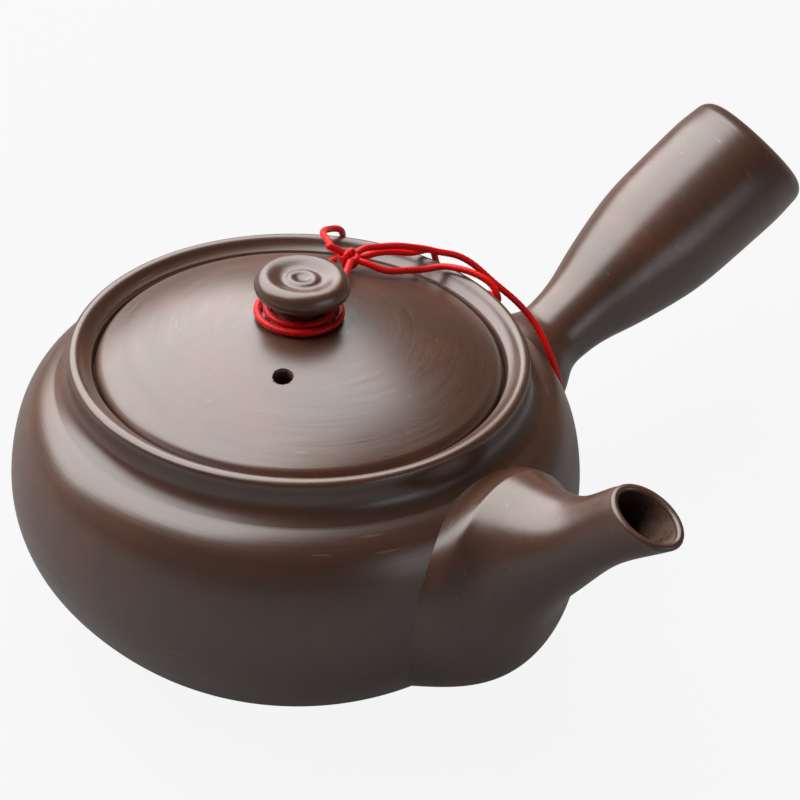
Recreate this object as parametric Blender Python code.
"""Side-handle teapot in unglazed brown clay, with its lid tied on by a red cord.

Metres, +Z up. The origin is the centre of the flat base, on the pot's own axis.
The handle leaves along +X and the spout leaves near -Y.
"""

import math

import bmesh
import bpy
import numpy as np
from mathutils import Matrix, Vector

# Clearances and cutting
LUTE_GAP = 0.0003
LID_CLEARANCE = 0.0005
FLANGE_CLEARANCE = 0.0007
OVERRUN = 0.0040
MERGE_DISTANCE = 0.000001

# Pot
BODY_RADIUS = 0.0571
BASE_RADIUS = 0.0355
BASE_EDGE = 0.0014
SHOULDER_HEIGHT = 0.0530
COLLAR_HEIGHT = 0.0070
COLLAR_SPREAD = 0.0011
CREASE_RADIUS = 0.0016
RIM_LIP = 0.0010
RIM_SLOPE_WIDTH = 0.0037
RIM_SLOPE_DROP = 0.0022
BODY_WALL = 0.0036
BASE_WALL = 0.0045
SEAT_DEPTH = 0.0052
SEAT_WIDTH = 0.0032
SEAT_THICKNESS = 0.0033

# Each pair: share of the way out from the base's radius to the belly's, then height as a share
# of SHOULDER_HEIGHT
LOWER_BELLY_SHARES = ((0.329, 0.091), (0.685, 0.251), (0.915, 0.413), (1.000, 0.574))
# The same, but out from the collar's foot
UPPER_BELLY_SHARES = ((0.938, 0.732), (0.725, 0.873), (0.398, 0.957))
INNER_WALL_FIRST_SHARE = 0.13
INNER_WALL_LAST_SHARE = 0.86

# Lid
LID_RADIUS = 0.0398
LID_EDGE_THICKNESS = 0.0028
LID_EDGE_ROUND = 0.0014
LID_RISE = 0.0094
LID_WALL = 0.0032
VENT_RADIUS = 0.0019
VENT_PLACE_RADIUS = 0.0191
VENT_ANGLE = math.radians(-140.0)
FLANGE_WALL = 0.0027
FLANGE_DEPTH = 0.0070
FLANGE_ROUND = 0.0008

# The pot's mouth, from the lid that it takes
GALLERY_RADIUS = LID_RADIUS + LID_CLEARANCE
NECK_RADIUS = LID_RADIUS - SEAT_WIDTH
RIM_RADIUS = GALLERY_RADIUS + RIM_SLOPE_WIDTH
COLLAR_RADIUS = RIM_RADIUS + RIM_LIP
COLLAR_FOOT_RADIUS = COLLAR_RADIUS + COLLAR_SPREAD
RIM_HEIGHT = SHOULDER_HEIGHT + COLLAR_HEIGHT
SEAT_HEIGHT = RIM_HEIGHT - SEAT_DEPTH

# Knob
KNOB_RADIUS = 0.00925
KNOB_HEIGHT = 0.0088
KNOB_SEAT_MARGIN = 0.00025
# Each pair: radius as a share of KNOB_RADIUS, height as a share of KNOB_HEIGHT
KNOB_SHARES = ((0.60, 0.000), (0.53, 0.080), (0.49, 0.190), (0.51, 0.340), (0.61, 0.420),
               (0.79, 0.470), (0.93, 0.550), (1.00, 0.690), (0.98, 0.830), (0.90, 0.950),
               (0.78, 1.000), (0.62, 0.960), (0.46, 0.890), (0.37, 0.890), (0.30, 0.930),
               (0.22, 0.935), (0.13, 0.895), (0.00, 0.880))

# Handle, on an axis that rises from the pot's own axis and reaches past the belly by its length
HANDLE_AXIS_HEIGHT = 0.0032
HANDLE_RISE = math.radians(22.8)
HANDLE_LENGTH = 0.0938
HANDLE_REACH = BODY_RADIUS + HANDLE_LENGTH
HANDLE_RADIUS = 0.0158
HANDLE_END_ROUND = 0.0045
HANDLE_WALL = 0.0036
HANDLE_MOUTH_RADIUS = 0.0085
# Each pair: place along the axis as a share of HANDLE_REACH, radius as a share of HANDLE_RADIUS
HANDLE_SHARES = ((0.2815, 0.997), (0.3495, 0.982), (0.4078, 0.913), (0.4369, 0.849), (0.4611, 0.780),
                 (0.4854, 0.681), (0.5097, 0.558), (0.5437, 0.525), (0.5825, 0.570), (0.6296, 0.689),
                 (0.6872, 0.823), (0.7469, 0.932), (0.8128, 0.980), (0.8861, 0.998), (0.9280, 0.998),
                 (0.9730, 0.962))
# Nearer the pot than this share, the handle's spine levels out to meet the wall squarely
HANDLE_BEND_SHARE = 0.4611
# Past this share the rings lean back and turn aside, up to the slant of the end
HANDLE_SLANT_SHARE = 0.70
HANDLE_END_LEAN = math.radians(21.8)
HANDLE_END_TURN = math.radians(11.1)

# Spout
SPOUT_ANGLE = math.radians(-85.0)
SPOUT_LENGTH = 0.0272
SPOUT_HEIGHT = 0.0653
SPOUT_HALF_HEIGHT = 0.0236
SPOUT_HALF_WIDTH = 0.0238
SPOUT_ROOT_WALL = 0.0030
SPOUT_LIP_WALL = 0.0015
SPOUT_LIP_ROUND = 0.0006
# Each row: reach past the belly as a share of SPOUT_LENGTH, height as a share of SPOUT_HEIGHT,
# tilt in degrees, half height as a share of SPOUT_HALF_HEIGHT, half width as a share of
# SPOUT_HALF_WIDTH
SPOUT_RING_SHARES = ((-0.388, 0.455, 0.0, 0.973, 1.057), (-0.021, 0.551, 12.2, 0.859, 0.828),
                     (0.106, 0.666, 21.9, 0.612, 0.563), (0.412, 0.772, 30.6, 0.373, 0.379),
                     (0.698, 0.888, 43.7, 0.276, 0.266), (0.981, 0.991, 69.4, 0.317, 0.244))
SPOUT_ROOT_SHARE = -0.86

# Strainer behind the spout, level with the spout's root
PORT_RADIUS = 0.0140
PORT_HEIGHT = SPOUT_HEIGHT * SPOUT_RING_SHARES[0][1]
STRAINER_WALL = 0.0022
STRAINER_SKIRT = 0.0050
STRAINER_INSET = 0.0031
STRAINER_DOME = 0.0070
STRAINER_HOLE_RADIUS = 0.00095
STRAINER_HOLE_MARGIN = 0.0022
STRAINER_HOLE_RINGS = 3

# Cord
CORD_DIAMETER = 0.0014
CORD_GAP = 0.0003
CORD_POINT_SPACING = 0.0032
KNOB_TURNS = 2
KNOB_TURN_POINTS = 24
KNOB_TURN_OUTER_RADIUS = 0.0088
KNOB_TURN_INNER_RADIUS = 0.0059
KNOB_TURN_PITCH = 0.0005
KNOB_TURN_LIFT = 0.0011
KNOB_LEAD_OFFSET = 0.0009
CORD_SELF_GAP_LEAST = 0.0004
LID_KNOT_PLACE = (0.0220, 0.0116, 0.0665)
HANDLE_KNOT_PLACE = (0.0641, 0.0139, 0.0342)
KNOT_BIGHT_RADIUS = 0.0017

# Routes in millimetres, chosen point by point
MILLIMETRE = 0.001
OVER_HANDLE_ROUTE = ((24.4, 11.0, 67.7), (28.6, 11.2, 67.0), (34.6, 10.6, 65.5), (38.7, 10.0, 64.0),
                     (41.6, 9.6, 62.8), (44.8, 8.6, 61.4), (48.1, 7.1, 60.2), (50.7, 5.1, 58.5),
                     (53.9, 1.5, 54.6), (57.2, -2.3, 50.6), (59.4, -4.8, 47.2), (60.2, -8.0, 44.0),
                     (60.1, -11.1, 41.0), (60.3, -13.4, 37.4), (60.8, -14.8, 33.6), (62.4, -14.9, 28.8),
                     (64.9, -13.2, 23.6), (67.8, -9.2, 19.6), (70.0, -3.2, 17.0), (70.4, 4.6, 17.8),
                     (68.2, 11.4, 23.6), (65.3, 14.4, 31.6))
UNDER_RIM_ROUTE = ((23.7, 9.3, 66.2), (26.0, 6.6, 65.0), (29.0, 5.6, 63.8), (32.5, 5.6, 62.7),
                   (35.6, 5.8, 61.6), (38.9, 5.3, 61.0), (41.7, 4.0, 61.1), (43.3, 1.5, 61.3),
                   (44.9, -1.2, 61.0), (46.2, -3.9, 60.2), (46.9, -6.0, 58.9), (47.0, -7.3, 57.2),
                   (48.2, -6.0, 55.2), (51.3, -1.5, 53.2), (54.8, 4.0, 49.6), (58.5, 9.5, 44.6),
                   (62.6, 13.3, 36.9))
SHORT_ROUTE = ((24.8, 11.6, 65.6), (29.9, 12.2, 64.6), (35.6, 11.6, 63.2), (39.8, 11.4, 61.7),
               (43.0, 11.3, 61.2), (45.4, 11.3, 60.3), (46.6, 11.6, 58.4), (49.0, 13.0, 54.6),
               (53.4, 15.4, 50.0), (58.6, 17.6, 43.4), (62.4, 16.6, 37.2))
TAIL_ROUTE = ((20.8, 14.0, 67.4), (21.9, 17.4, 67.4), (25.0, 23.0, 66.0), (30.4, 27.1, 63.5),
              (33.9, 28.0, 61.8), (36.3, 29.6, 58.4), (37.6, 31.5, 54.9), (39.6, 33.4, 52.2))

# Mesh fineness
POT_STEPS = 48
LID_STEPS = 48
KNOB_STEPS = 28
HANDLE_STEPS = 32
SPOUT_STEPS = 36
STRAINER_STEPS = 24
HOLE_STEPS = 6
VENT_STEPS = 16
KNOT_STEPS = 12
KNOT_SIDES = 6
BELLY_POINTS = 13
DOME_POINTS = 7
CORNER_POINTS = 4
SPOUT_POINTS = 13
CORD_SIDES_RESOLUTION = 2
TURN_SIDES_RESOLUTION = 1

# Finishes
CLAY_COLOUR = (0.095, 0.060, 0.048, 1.0)
CLAY_ROUGHNESS = 0.42
INNER_CLAY_COLOUR = (0.110, 0.072, 0.058, 1.0)
INNER_CLAY_ROUGHNESS = 0.70
CORD_COLOUR = (0.720, 0.004, 0.006, 1.0)
CORD_ROUGHNESS = 0.45


def clear_scene():
    """Remove every object that the file starts with."""
    for item in list(bpy.data.objects):
        bpy.data.objects.remove(item, do_unlink=True)


def make_material(name, colour, roughness):
    """A Principled material of one colour and roughness."""
    material = bpy.data.materials.new(name)
    material.use_nodes = True
    shader = material.node_tree.nodes["Principled BSDF"]
    shader.inputs["Base Color"].default_value = colour
    shader.inputs["Roughness"].default_value = roughness
    shader.inputs["Metallic"].default_value = 0.0
    return material


def add_object(name, mesh, material, matrix=None):
    """Link a mesh as a named object, shaded smooth with sharp edges kept."""
    mesh.shade_smooth()
    mesh.set_sharp_from_angle(angle=math.radians(40.0))
    mesh.materials.append(material)
    item = bpy.data.objects.new(name, mesh)
    if matrix is not None:
        item.matrix_world = matrix
    bpy.context.scene.collection.objects.link(item)
    return item


def hide_tool(item):
    """Mark an object as a cutter that is no piece of the teapot."""
    item.hide_render = True
    item.display_type = "WIRE"
    return item


def combine(item, tool, operation):
    """Add a Boolean modifier that cuts with a tool or joins it."""
    step = item.modifiers.new(operation.title(), "BOOLEAN")
    step.object = hide_tool(tool)
    step.operation = operation
    step.solver = "EXACT"


def spline(points, count):
    """Natural cubic spline through points spaced by their chords, read at even steps."""
    points = np.array(points, float)
    knots = np.concatenate([[0.0], np.cumsum(np.linalg.norm(np.diff(points, axis=0), axis=1))])
    return spline_on(knots, points, np.linspace(0.0, knots[-1], count))


def spline_on(knots, points, places):
    """Natural cubic spline with given knots, read at given places."""
    spans = np.diff(knots)
    last = len(knots) - 1
    matrix = np.eye(last + 1)
    right = np.zeros_like(points)
    for i in range(1, last):
        matrix[i, i - 1:i + 2] = spans[i - 1], 2 * (spans[i - 1] + spans[i]), spans[i]
        right[i] = 6 * ((points[i + 1] - points[i]) / spans[i]
                        - (points[i] - points[i - 1]) / spans[i - 1])
    bends = np.linalg.solve(matrix, right)
    i = np.clip(np.searchsorted(knots, places) - 1, 0, last - 1)
    span = spans[i][:, None]
    after = (places - knots[i])[:, None]
    before = span - after
    return ((bends[i] * before ** 3 + bends[i + 1] * after ** 3) / (6 * span)
            + (points[i] / span - bends[i] * span / 6) * before
            + (points[i + 1] / span - bends[i + 1] * span / 6) * after)


def arc(centre, radius, start, end, count):
    """Points of an arc in a profile's plane, angles in degrees."""
    angles = np.radians(np.linspace(start, end, count))
    return [(centre[0] + radius * math.cos(a), centre[1] + radius * math.sin(a)) for a in angles]


def offset(points, distance):
    """Move an open profile sideways, to the right of its direction."""
    points = np.array(points, float)
    along = np.gradient(points, axis=0)
    along /= np.linalg.norm(along, axis=1)[:, None]
    return points + distance * np.stack([along[:, 1], -along[:, 0]], axis=1)


def turned(name, outline, steps, material, matrix=None):
    """Spin an outline of (radius, height) pairs round Z. Both its ends lie on the axis,
    or else it is closed into a ring."""
    bm = bmesh.new()
    verts = [bm.verts.new((max(radius, 0.0), 0.0, height)) for radius, height in outline]
    on_axis = outline[0][0] == 0.0 and outline[-1][0] == 0.0
    edges = [bm.edges.new(pair) for pair in zip(verts, verts[1:])]
    if not on_axis:
        edges.append(bm.edges.new((verts[-1], verts[0])))
    bmesh.ops.spin(bm, geom=verts + edges, cent=(0, 0, 0), axis=(0, 0, 1), angle=2 * math.pi,
                   steps=steps, use_merge=True)
    bmesh.ops.remove_doubles(bm, verts=bm.verts, dist=MERGE_DISTANCE)
    bmesh.ops.recalc_face_normals(bm, faces=bm.faces)
    mesh = bpy.data.meshes.new(name)
    bm.to_mesh(mesh)
    bm.free()
    return add_object(name, mesh, material, matrix)


def rod(name, radius, start, end, steps, material):
    """A plain cylinder between two points, for a cutter."""
    start = Vector(start)
    along = Vector(end) - start
    turn = along.to_track_quat("Z", "Y").to_matrix().to_4x4()
    outline = [(0.0, 0.0), (radius, 0.0), (radius, along.length), (0.0, along.length)]
    return turned(name, outline, steps, material, Matrix.Translation(start) @ turn)


def belly_outline():
    """The outside of the pot's wall from the base's edge to the foot of the collar."""
    lower = [(BASE_RADIUS + (BODY_RADIUS - BASE_RADIUS) * out, SHOULDER_HEIGHT * height)
             for out, height in LOWER_BELLY_SHARES]
    upper = [(COLLAR_FOOT_RADIUS + (BODY_RADIUS - COLLAR_FOOT_RADIUS) * out, SHOULDER_HEIGHT * height)
             for out, height in UPPER_BELLY_SHARES]
    edge = [(BASE_RADIUS + BASE_EDGE, BASE_EDGE / 2)]
    foot = [(COLLAR_FOOT_RADIUS + CREASE_RADIUS, SHOULDER_HEIGHT - CREASE_RADIUS / 2)]
    return [tuple(point) for point in spline(edge + lower + upper + foot, BELLY_POINTS)]


def collar_outline():
    """The outside of the collar, the rim's lip and its slope down to the lid's gap."""
    slope_foot = RIM_HEIGHT - RIM_SLOPE_DROP
    return [(COLLAR_FOOT_RADIUS, SHOULDER_HEIGHT + CREASE_RADIUS / 4),
            (COLLAR_RADIUS + CREASE_RADIUS / 4, SHOULDER_HEIGHT + CREASE_RADIUS),
            (COLLAR_RADIUS, RIM_HEIGHT - 2 * RIM_LIP),
            (COLLAR_RADIUS - RIM_LIP / 4, RIM_HEIGHT - RIM_LIP / 2),
            (RIM_RADIUS, RIM_HEIGHT),
            (RIM_RADIUS - RIM_LIP, RIM_HEIGHT - RIM_LIP / 5),
            ((RIM_RADIUS + GALLERY_RADIUS) / 2, RIM_HEIGHT - RIM_SLOPE_DROP / 2),
            (GALLERY_RADIUS + RIM_LIP / 3, slope_foot),
            (GALLERY_RADIUS, slope_foot - RIM_LIP)]


def pot_outline():
    """The whole section of the pot, from the axis under the base round to the axis inside."""
    first = SHOULDER_HEIGHT * INNER_WALL_FIRST_SHARE
    last = SHOULDER_HEIGHT * INNER_WALL_LAST_SHARE
    inner = [tuple(point) for point in offset(belly_outline(), -BODY_WALL) if first < point[1] < last]
    floor_radius = inner[0][0] - 2 * BASE_WALL
    under_seat = SEAT_HEIGHT - SEAT_THICKNESS
    ledge = [(GALLERY_RADIUS, SEAT_HEIGHT), (NECK_RADIUS, SEAT_HEIGHT), (NECK_RADIUS, under_seat),
             ((NECK_RADIUS + inner[-1][0]) / 2, (3 * under_seat + inner[-1][1]) / 4)]
    floor = [((floor_radius + 2 * inner[0][0]) / 3, (2 * BASE_WALL + inner[0][1]) / 3),
             (floor_radius, BASE_WALL), (0.0, BASE_WALL)]
    outer = [(0.0, 0.0), (BASE_RADIUS, 0.0)] + belly_outline() + collar_outline()
    return outer + ledge + inner[::-1] + floor


def pot_envelope(name, material):
    """The pot's outside as one solid, a lute gap larger, to cut what is luted on to it."""
    wall = offset([(BASE_RADIUS, 0.0)] + belly_outline() + collar_outline()[:3], LUTE_GAP)
    outline = [(0.0, -OVERRUN), (BASE_RADIUS, -OVERRUN)]
    outline += [tuple(point) for point in wall] + [(0.0, RIM_HEIGHT)]
    return turned(name, outline, POT_STEPS, material)


def radial(angle, reach, height):
    """A point at a reach from the pot's axis in a given direction."""
    return (reach * math.cos(angle), reach * math.sin(angle), height)


def make_pot(clay):
    """The thrown pot: base, wall, shoulder, collar and lid seat, pierced behind the spout."""
    pot = turned("pot_body", pot_outline(), POT_STEPS, clay)
    port = rod("port_cutter", PORT_RADIUS, radial(SPOUT_ANGLE, BODY_RADIUS / 2, PORT_HEIGHT),
               radial(SPOUT_ANGLE, BODY_RADIUS + OVERRUN, PORT_HEIGHT), STRAINER_STEPS, clay)
    combine(pot, port, "DIFFERENCE")


def lid_apex():
    """Height of the lid's top, where the knob sits."""
    return SEAT_HEIGHT + LUTE_GAP + LID_EDGE_THICKNESS + LID_RISE


def dome_height(radius, drop=0.0):
    """Height of the lid's dome over a radius, or of a dome inside it by a drop."""
    sphere = (LID_RADIUS ** 2 + LID_RISE ** 2) / (2 * LID_RISE) - drop
    return lid_apex() - drop - sphere + math.sqrt(sphere ** 2 - radius ** 2)


def knob_seat_radius():
    """Radius of the flat on the lid's top, a little wider than the knob's foot."""
    return KNOB_RADIUS * KNOB_SHARES[0][0] + KNOB_SEAT_MARGIN


def make_lid(clay):
    """The domed lid with its flat seat ring and vent hole."""
    flange_inner = NECK_RADIUS - FLANGE_CLEARANCE - FLANGE_WALL
    underside = SEAT_HEIGHT + LUTE_GAP
    inner_radius = flange_inner - LID_EDGE_ROUND
    dome_end = LID_RADIUS - LID_EDGE_ROUND
    radii = np.linspace(knob_seat_radius(), dome_end, DOME_POINTS)
    top = [(0.0, dome_height(radii[0]))] + [(radius, dome_height(radius)) for radius in radii]
    edge_height = underside + LID_EDGE_THICKNESS
    edge = [(LID_RADIUS - LID_EDGE_ROUND / 3, (dome_height(dome_end) + edge_height) / 2),
            (LID_RADIUS, edge_height - LID_EDGE_ROUND / 2),
            (LID_RADIUS, underside + LID_EDGE_ROUND / 2),
            (LID_RADIUS - LID_EDGE_ROUND / 2, underside)]
    inner_radii = np.linspace(inner_radius - LID_EDGE_ROUND / 2, 0.0, DOME_POINTS)
    inside = [(radius, dome_height(radius, LID_WALL)) for radius in inner_radii]
    outline = top + edge + [(inner_radius, underside)] + inside
    lid = turned("lid", outline, LID_STEPS, clay)
    vent = rod("vent_cutter", VENT_RADIUS, radial(VENT_ANGLE, VENT_PLACE_RADIUS, underside),
               radial(VENT_ANGLE, VENT_PLACE_RADIUS, lid_apex() + OVERRUN), VENT_STEPS, clay)
    combine(lid, vent, "DIFFERENCE")


def make_flange(clay):
    """The ring under the lid that drops into the pot's neck."""
    outer = NECK_RADIUS - FLANGE_CLEARANCE
    inner = outer - FLANGE_WALL
    top = SEAT_HEIGHT
    bottom = top - FLANGE_DEPTH
    outline = [(inner, top), (outer, top), (outer, bottom + FLANGE_ROUND),
               (outer - FLANGE_ROUND, bottom), (inner + FLANGE_ROUND, bottom),
               (inner, bottom + FLANGE_ROUND)]
    turned("lid_flange", outline, LID_STEPS, clay)


def make_knob(clay):
    """The waisted button knob with its dished top."""
    foot = dome_height(knob_seat_radius()) + LUTE_GAP
    outline = [(0.0, foot)]
    outline += [(KNOB_RADIUS * radius, foot + KNOB_HEIGHT * height) for radius, height in KNOB_SHARES]
    turned("lid_knob", outline, KNOB_STEPS, clay)


def handle_ring(along, radius):
    """A ring at a distance along the handle's axis. Its spine levels out by the pot. Near the end
    the ring slants, and is as much longer as keeps the handle round."""
    bend = HANDLE_REACH * HANDLE_BEND_SHARE
    root = bend - HANDLE_REACH * HANDLE_SHARES[0][0]
    inward = min(max((bend - along) / root, 0.0), 1.0)
    lift = root * math.sin(HANDLE_RISE) * inward ** 2 / 2
    height = HANDLE_AXIS_HEIGHT + along * math.sin(HANDLE_RISE) + lift
    outward = (along / HANDLE_REACH - HANDLE_SLANT_SHARE) / (1 - HANDLE_SLANT_SHARE)
    slant = min(max(outward, 0.0), 1.0) ** 2
    lean = HANDLE_END_LEAN * slant
    turn = HANDLE_END_TURN * slant
    return (along * math.cos(HANDLE_RISE), height, HANDLE_RISE * (1 - inward) + lean, turn,
            radius / math.cos(lean), radius / math.cos(turn))


def handle_rings(inside):
    """Rings of the handle from its root to its rounded end, or of its hollow to the mouth."""
    rows = [(HANDLE_REACH * along, HANDLE_RADIUS * radius) for along, radius in HANDLE_SHARES]
    if inside:
        lip = HANDLE_REACH - HANDLE_WALL
        rows = [(along, radius - HANDLE_WALL) for along, radius in rows if along < lip - HANDLE_WALL]
        rows[0] = (rows[0][0] - OVERRUN, rows[0][1])
        rows += [(lip, HANDLE_MOUTH_RADIUS), (HANDLE_REACH + OVERRUN, HANDLE_MOUTH_RADIUS)]
    else:
        centre = (HANDLE_REACH - HANDLE_END_ROUND, rows[-1][1] - HANDLE_END_ROUND)
        rows += arc(centre, HANDLE_END_ROUND, 75.0, 0.0, CORNER_POINTS)
    return [handle_ring(along, radius) for along, radius in rows]


def make_handle(clay):
    """The thrown hollow handle: flared root, slim neck, full end with an open mouth."""
    handle = loft("side_handle", handle_rings(False), HANDLE_STEPS, 0.0, clay)
    hollow = loft("handle_bore_cutter", handle_rings(True), HANDLE_STEPS, 0.0, clay)
    combine(handle, hollow, "DIFFERENCE")
    combine(handle, pot_envelope("handle_root_cutter", clay), "DIFFERENCE")


def spout_rings(inside):
    """Rings of the spout from its root to its lip, or of its bore. None turns aside."""
    rows = np.array([(BODY_RADIUS + SPOUT_LENGTH * reach, SPOUT_HEIGHT * height, math.radians(tilt),
                      SPOUT_HALF_HEIGHT * half_height, SPOUT_HALF_WIDTH * half_width)
                     for reach, height, tilt, half_height, half_width in SPOUT_RING_SHARES])
    places = np.linspace(0.0, 1.0, SPOUT_POINTS)
    rings = spline_on(np.linspace(0.0, 1.0, len(rows)), rows, places)
    root = rings[:1].copy()
    root[0, 0] = BODY_RADIUS + SPOUT_LENGTH * SPOUT_ROOT_SHARE
    if inside:
        walls = np.linspace(SPOUT_ROOT_WALL, SPOUT_LIP_WALL, SPOUT_POINTS)
        rings[:, 3:] -= walls[:, None]
        root[0, 3:] -= SPOUT_ROOT_WALL
        root[0, 0] -= OVERRUN
        end = moved_ring(rings[-1], OVERRUN, 0.0)
    else:
        end = moved_ring(rings[-1], SPOUT_LIP_ROUND, SPOUT_LIP_ROUND)
    return np.insert(np.concatenate([root, rings, [end]]), 3, 0.0, axis=1)


def moved_ring(ring, along, shrink):
    """A ring moved along its own normal and drawn in."""
    reach, height, tilt, half_height, half_width = ring
    return np.array([reach + along * math.cos(tilt), height + along * math.sin(tilt), tilt,
                     half_height - shrink, half_width - shrink])


def loft(name, rings, steps, direction, material):
    """Skin a row of elliptical rings that leave the pot's axis in one direction. Each ring is its
    reach, height, tilt, turn aside, half height and half width."""
    bm = bmesh.new()
    loops = []
    for reach, height, tilt, aside, half_height, half_width in rings:
        loop = []
        for i in range(steps):
            up = half_height * math.sin(2 * math.pi * i / steps)
            side = half_width * math.cos(2 * math.pi * i / steps)
            out = side * math.sin(aside)
            loop.append(bm.verts.new((reach - up * math.sin(tilt) + out * math.cos(tilt),
                                      side * math.cos(aside),
                                      height + up * math.cos(tilt) + out * math.sin(tilt))))
        loops.append(loop)
    for lower, upper in zip(loops, loops[1:]):
        for i in range(steps):
            j = (i + 1) % steps
            bm.faces.new((lower[i], lower[j], upper[j], upper[i]))
    bm.faces.new(loops[0])
    bm.faces.new(loops[-1])
    bmesh.ops.recalc_face_normals(bm, faces=bm.faces)
    mesh = bpy.data.meshes.new(name)
    bm.to_mesh(mesh)
    bm.free()
    return add_object(name, mesh, material, Matrix.Rotation(direction, 4, "Z"))


def make_spout(clay):
    """The bell-rooted spout, hollow from the pot's wall to its slanted mouth."""
    spout = loft("spout", spout_rings(False), SPOUT_STEPS, SPOUT_ANGLE, clay)
    hollow = loft("spout_bore_cutter", spout_rings(True), SPOUT_STEPS, SPOUT_ANGLE, clay)
    combine(spout, hollow, "DIFFERENCE")
    combine(spout, pot_envelope("spout_root_cutter", clay), "DIFFERENCE")


def strainer_hole_places(inner):
    """Centres of the strainer's holes, in rings round a middle one, inside a given radius."""
    pitch = (inner - STRAINER_HOLE_MARGIN) / STRAINER_HOLE_RINGS
    places = [(0.0, 0.0)]
    for ring in range(1, STRAINER_HOLE_RINGS + 1):
        for i in range(6 * ring):
            turn = 2 * math.pi * i / (6 * ring)
            places.append((ring * pitch * math.cos(turn), ring * pitch * math.sin(turn)))
    return places


def make_strainer(clay):
    """The pierced clay dome that fills the port behind the spout."""
    outer = PORT_RADIUS - LUTE_GAP
    inner = outer - STRAINER_WALL
    turns = np.radians(np.linspace(0.0, 90.0, DOME_POINTS))[:-1]
    rise = STRAINER_DOME - STRAINER_WALL
    dome = [(outer * math.cos(turn), STRAINER_SKIRT + STRAINER_DOME * math.sin(turn)) for turn in turns]
    hollow = [(inner * math.cos(turn), STRAINER_SKIRT + rise * math.sin(turn)) for turn in turns]
    outline = [(0.0, STRAINER_SKIRT + STRAINER_DOME)] + dome[::-1] + [(outer, 0.0), (inner, 0.0)]
    outline += hollow + [(0.0, STRAINER_SKIRT + rise)]
    inward = Vector(radial(SPOUT_ANGLE, -1.0, 0.0))
    place = Matrix.Translation(radial(SPOUT_ANGLE, BODY_RADIUS - STRAINER_INSET, PORT_HEIGHT))
    matrix = place @ inward.to_track_quat("Z", "Y").to_matrix().to_4x4()
    strainer = turned("tea_strainer", outline, STRAINER_STEPS, clay, matrix)
    bm = bmesh.new()
    for x, y in strainer_hole_places(inner):
        middle = Matrix.Translation((x, y, STRAINER_SKIRT + STRAINER_DOME / 2))
        bmesh.ops.create_cone(bm, cap_ends=True, segments=HOLE_STEPS, radius1=STRAINER_HOLE_RADIUS,
                              radius2=STRAINER_HOLE_RADIUS, depth=2 * STRAINER_DOME, matrix=middle)
    mesh = bpy.data.meshes.new("strainer_hole_cutter")
    bm.to_mesh(mesh)
    bm.free()
    combine(strainer, add_object("strainer_hole_cutter", mesh, clay, matrix), "DIFFERENCE")


def tube(name, points, resolution, red):
    """A cord as a poly curve with a round bevel and filled ends."""
    curve = bpy.data.curves.new(name, "CURVE")
    curve.dimensions = "3D"
    curve.bevel_depth = CORD_DIAMETER / 2
    curve.bevel_resolution = resolution
    curve.use_fill_caps = True
    path = curve.splines.new("POLY")
    path.points.add(len(points) - 1)
    for place, point in zip(path.points, points):
        place.co = (*point, 1.0)
    path.use_smooth = True
    curve.materials.append(red)
    item = bpy.data.objects.new(name, curve)
    bpy.context.scene.collection.objects.link(item)
    return item


def cord_points(route):
    """A smooth cord through its route's points, read every few diameters."""
    points = np.array(route) * MILLIMETRE
    length = np.linalg.norm(np.diff(points, axis=0), axis=1).sum()
    return spline(points, round(length / CORD_POINT_SPACING) + 1)


def knob_turn_points():
    """Slack turns round the knob's neck, drawn in as they climb, with straight ends."""
    knot = np.array(LID_KNOT_PLACE)
    reach = math.hypot(knot[0], knot[1])
    first = math.acos((KNOB_TURN_OUTER_RADIUS - KNOB_LEAD_OFFSET) / reach)
    last = math.acos((KNOB_TURN_INNER_RADIUS - KNOB_LEAD_OFFSET) / reach)
    wrap = 2 * math.pi * KNOB_TURNS - first - last
    shares = np.linspace(0.0, 1.0, round(KNOB_TURN_POINTS * wrap / (2 * math.pi)) + 1)
    turns = math.atan2(knot[1], knot[0]) + first + shares * wrap
    radii = KNOB_TURN_OUTER_RADIUS + (KNOB_TURN_INNER_RADIUS - KNOB_TURN_OUTER_RADIUS) * shares
    start_height = dome_height(KNOB_TURN_OUTER_RADIUS) + KNOB_TURN_LIFT
    heights = start_height + KNOB_TURN_PITCH * shares * wrap / (2 * math.pi)
    loops = np.stack([radii * np.cos(turns), radii * np.sin(turns), heights], axis=1)
    return np.concatenate([lead(loops[0], turns[0], -1.0, knot), loops,
                           lead(loops[-1], turns[-1], 1.0, knot)[::-1]])


def lead(end, turn, sense, knot):
    """The straight run from the knot to one end of the turns."""
    tangent = np.array([-math.sin(turn), math.cos(turn), 0.0]) * sense
    knot_radius = KNOT_BIGHT_RADIUS + CORD_DIAMETER / 2
    far = end + tangent * ((knot - end) @ tangent - knot_radius - CORD_GAP)
    far[2] += (knot[2] - end[2]) / 2
    return np.array([far, (far + end) / 2])


def least_self_gap(points):
    """Smallest clear distance between parts of a tube that aren't neighbours along it."""
    spacing = np.linalg.norm(np.diff(points, axis=0), axis=1).min()
    skip = int(math.pi * CORD_DIAMETER / spacing) + 2
    apart = np.linalg.norm(points[:, None] - points[None], axis=2)
    rows, columns = np.indices(apart.shape)
    return apart[columns - rows > skip].min() - CORD_DIAMETER


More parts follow.
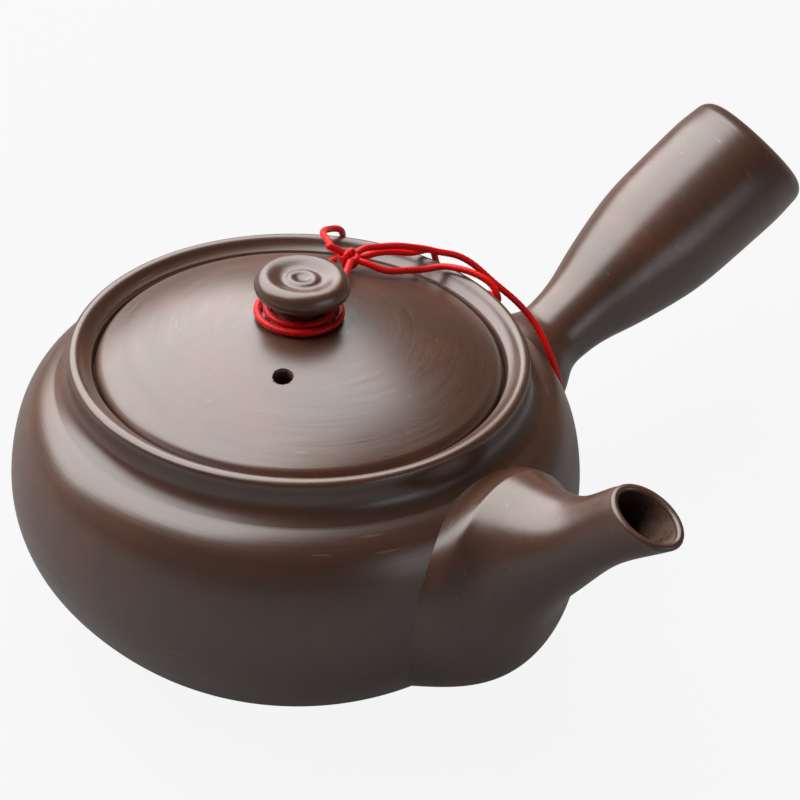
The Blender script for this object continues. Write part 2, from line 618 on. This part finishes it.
def make_knot(name, place, red):
    """A pulled-tight knot: three crossing bights of cord round a filled heart."""
    section = arc((KNOT_BIGHT_RADIUS, 0.0), CORD_DIAMETER / 2, 0.0, 360.0, KNOT_SIDES + 1)[:-1]
    bm = bmesh.new()
    bmesh.ops.create_icosphere(bm, subdivisions=2, radius=KNOT_BIGHT_RADIUS)
    mesh = bpy.data.meshes.new(name)
    bm.to_mesh(mesh)
    bm.free()
    knot = add_object(name, mesh, red, Matrix.Translation(place))
    for i, axis in enumerate(("X", "Y", "Z")):
        turn = Matrix.Rotation(math.radians(55.0 + 20.0 * i), 4, axis)
        matrix = Matrix.Translation(place) @ turn @ Matrix.Rotation(math.radians(40.0 * i), 4, "Z")
        combine(knot, turned(f"{name}_bight_{i}", section, KNOT_STEPS, red, matrix), "UNION")


def make_cords(red):
    """The turns on the knob, both knots, the loose tail and the strands to the handle."""
    turns = knob_turn_points()
    tube("knob_cord_turns", turns, TURN_SIDES_RESOLUTION, red)
    gap = least_self_gap(turns)
    print(f"knob_cord_turns: least gap to itself {gap / MILLIMETRE:.2f} mm")
    if gap < CORD_SELF_GAP_LEAST:
        print("knob_cord_turns: the turns lie too close")
    make_knot("lid_cord_knot", LID_KNOT_PLACE, red)
    make_knot("handle_cord_knot", HANDLE_KNOT_PLACE, red)
    routes = {"cord_over_handle": OVER_HANDLE_ROUTE, "cord_under_rim": UNDER_RIM_ROUTE,
              "cord_short": SHORT_ROUTE, "cord_tail": TAIL_ROUTE}
    for name, route in routes.items():
        tube(name, cord_points(route), CORD_SIDES_RESOLUTION, red)


def main():
    """Build every piece of the teapot."""
    clear_scene()
    clay = make_material("burnished clay", CLAY_COLOUR, CLAY_ROUGHNESS)
    inner_clay = make_material("unburnished clay", INNER_CLAY_COLOUR, INNER_CLAY_ROUGHNESS)
    red = make_material("red satin cord", CORD_COLOUR, CORD_ROUGHNESS)
    make_pot(clay)
    make_spout(clay)
    make_strainer(inner_clay)
    make_handle(clay)
    make_lid(clay)
    make_flange(inner_clay)
    make_knob(clay)
    make_cords(red)


main()
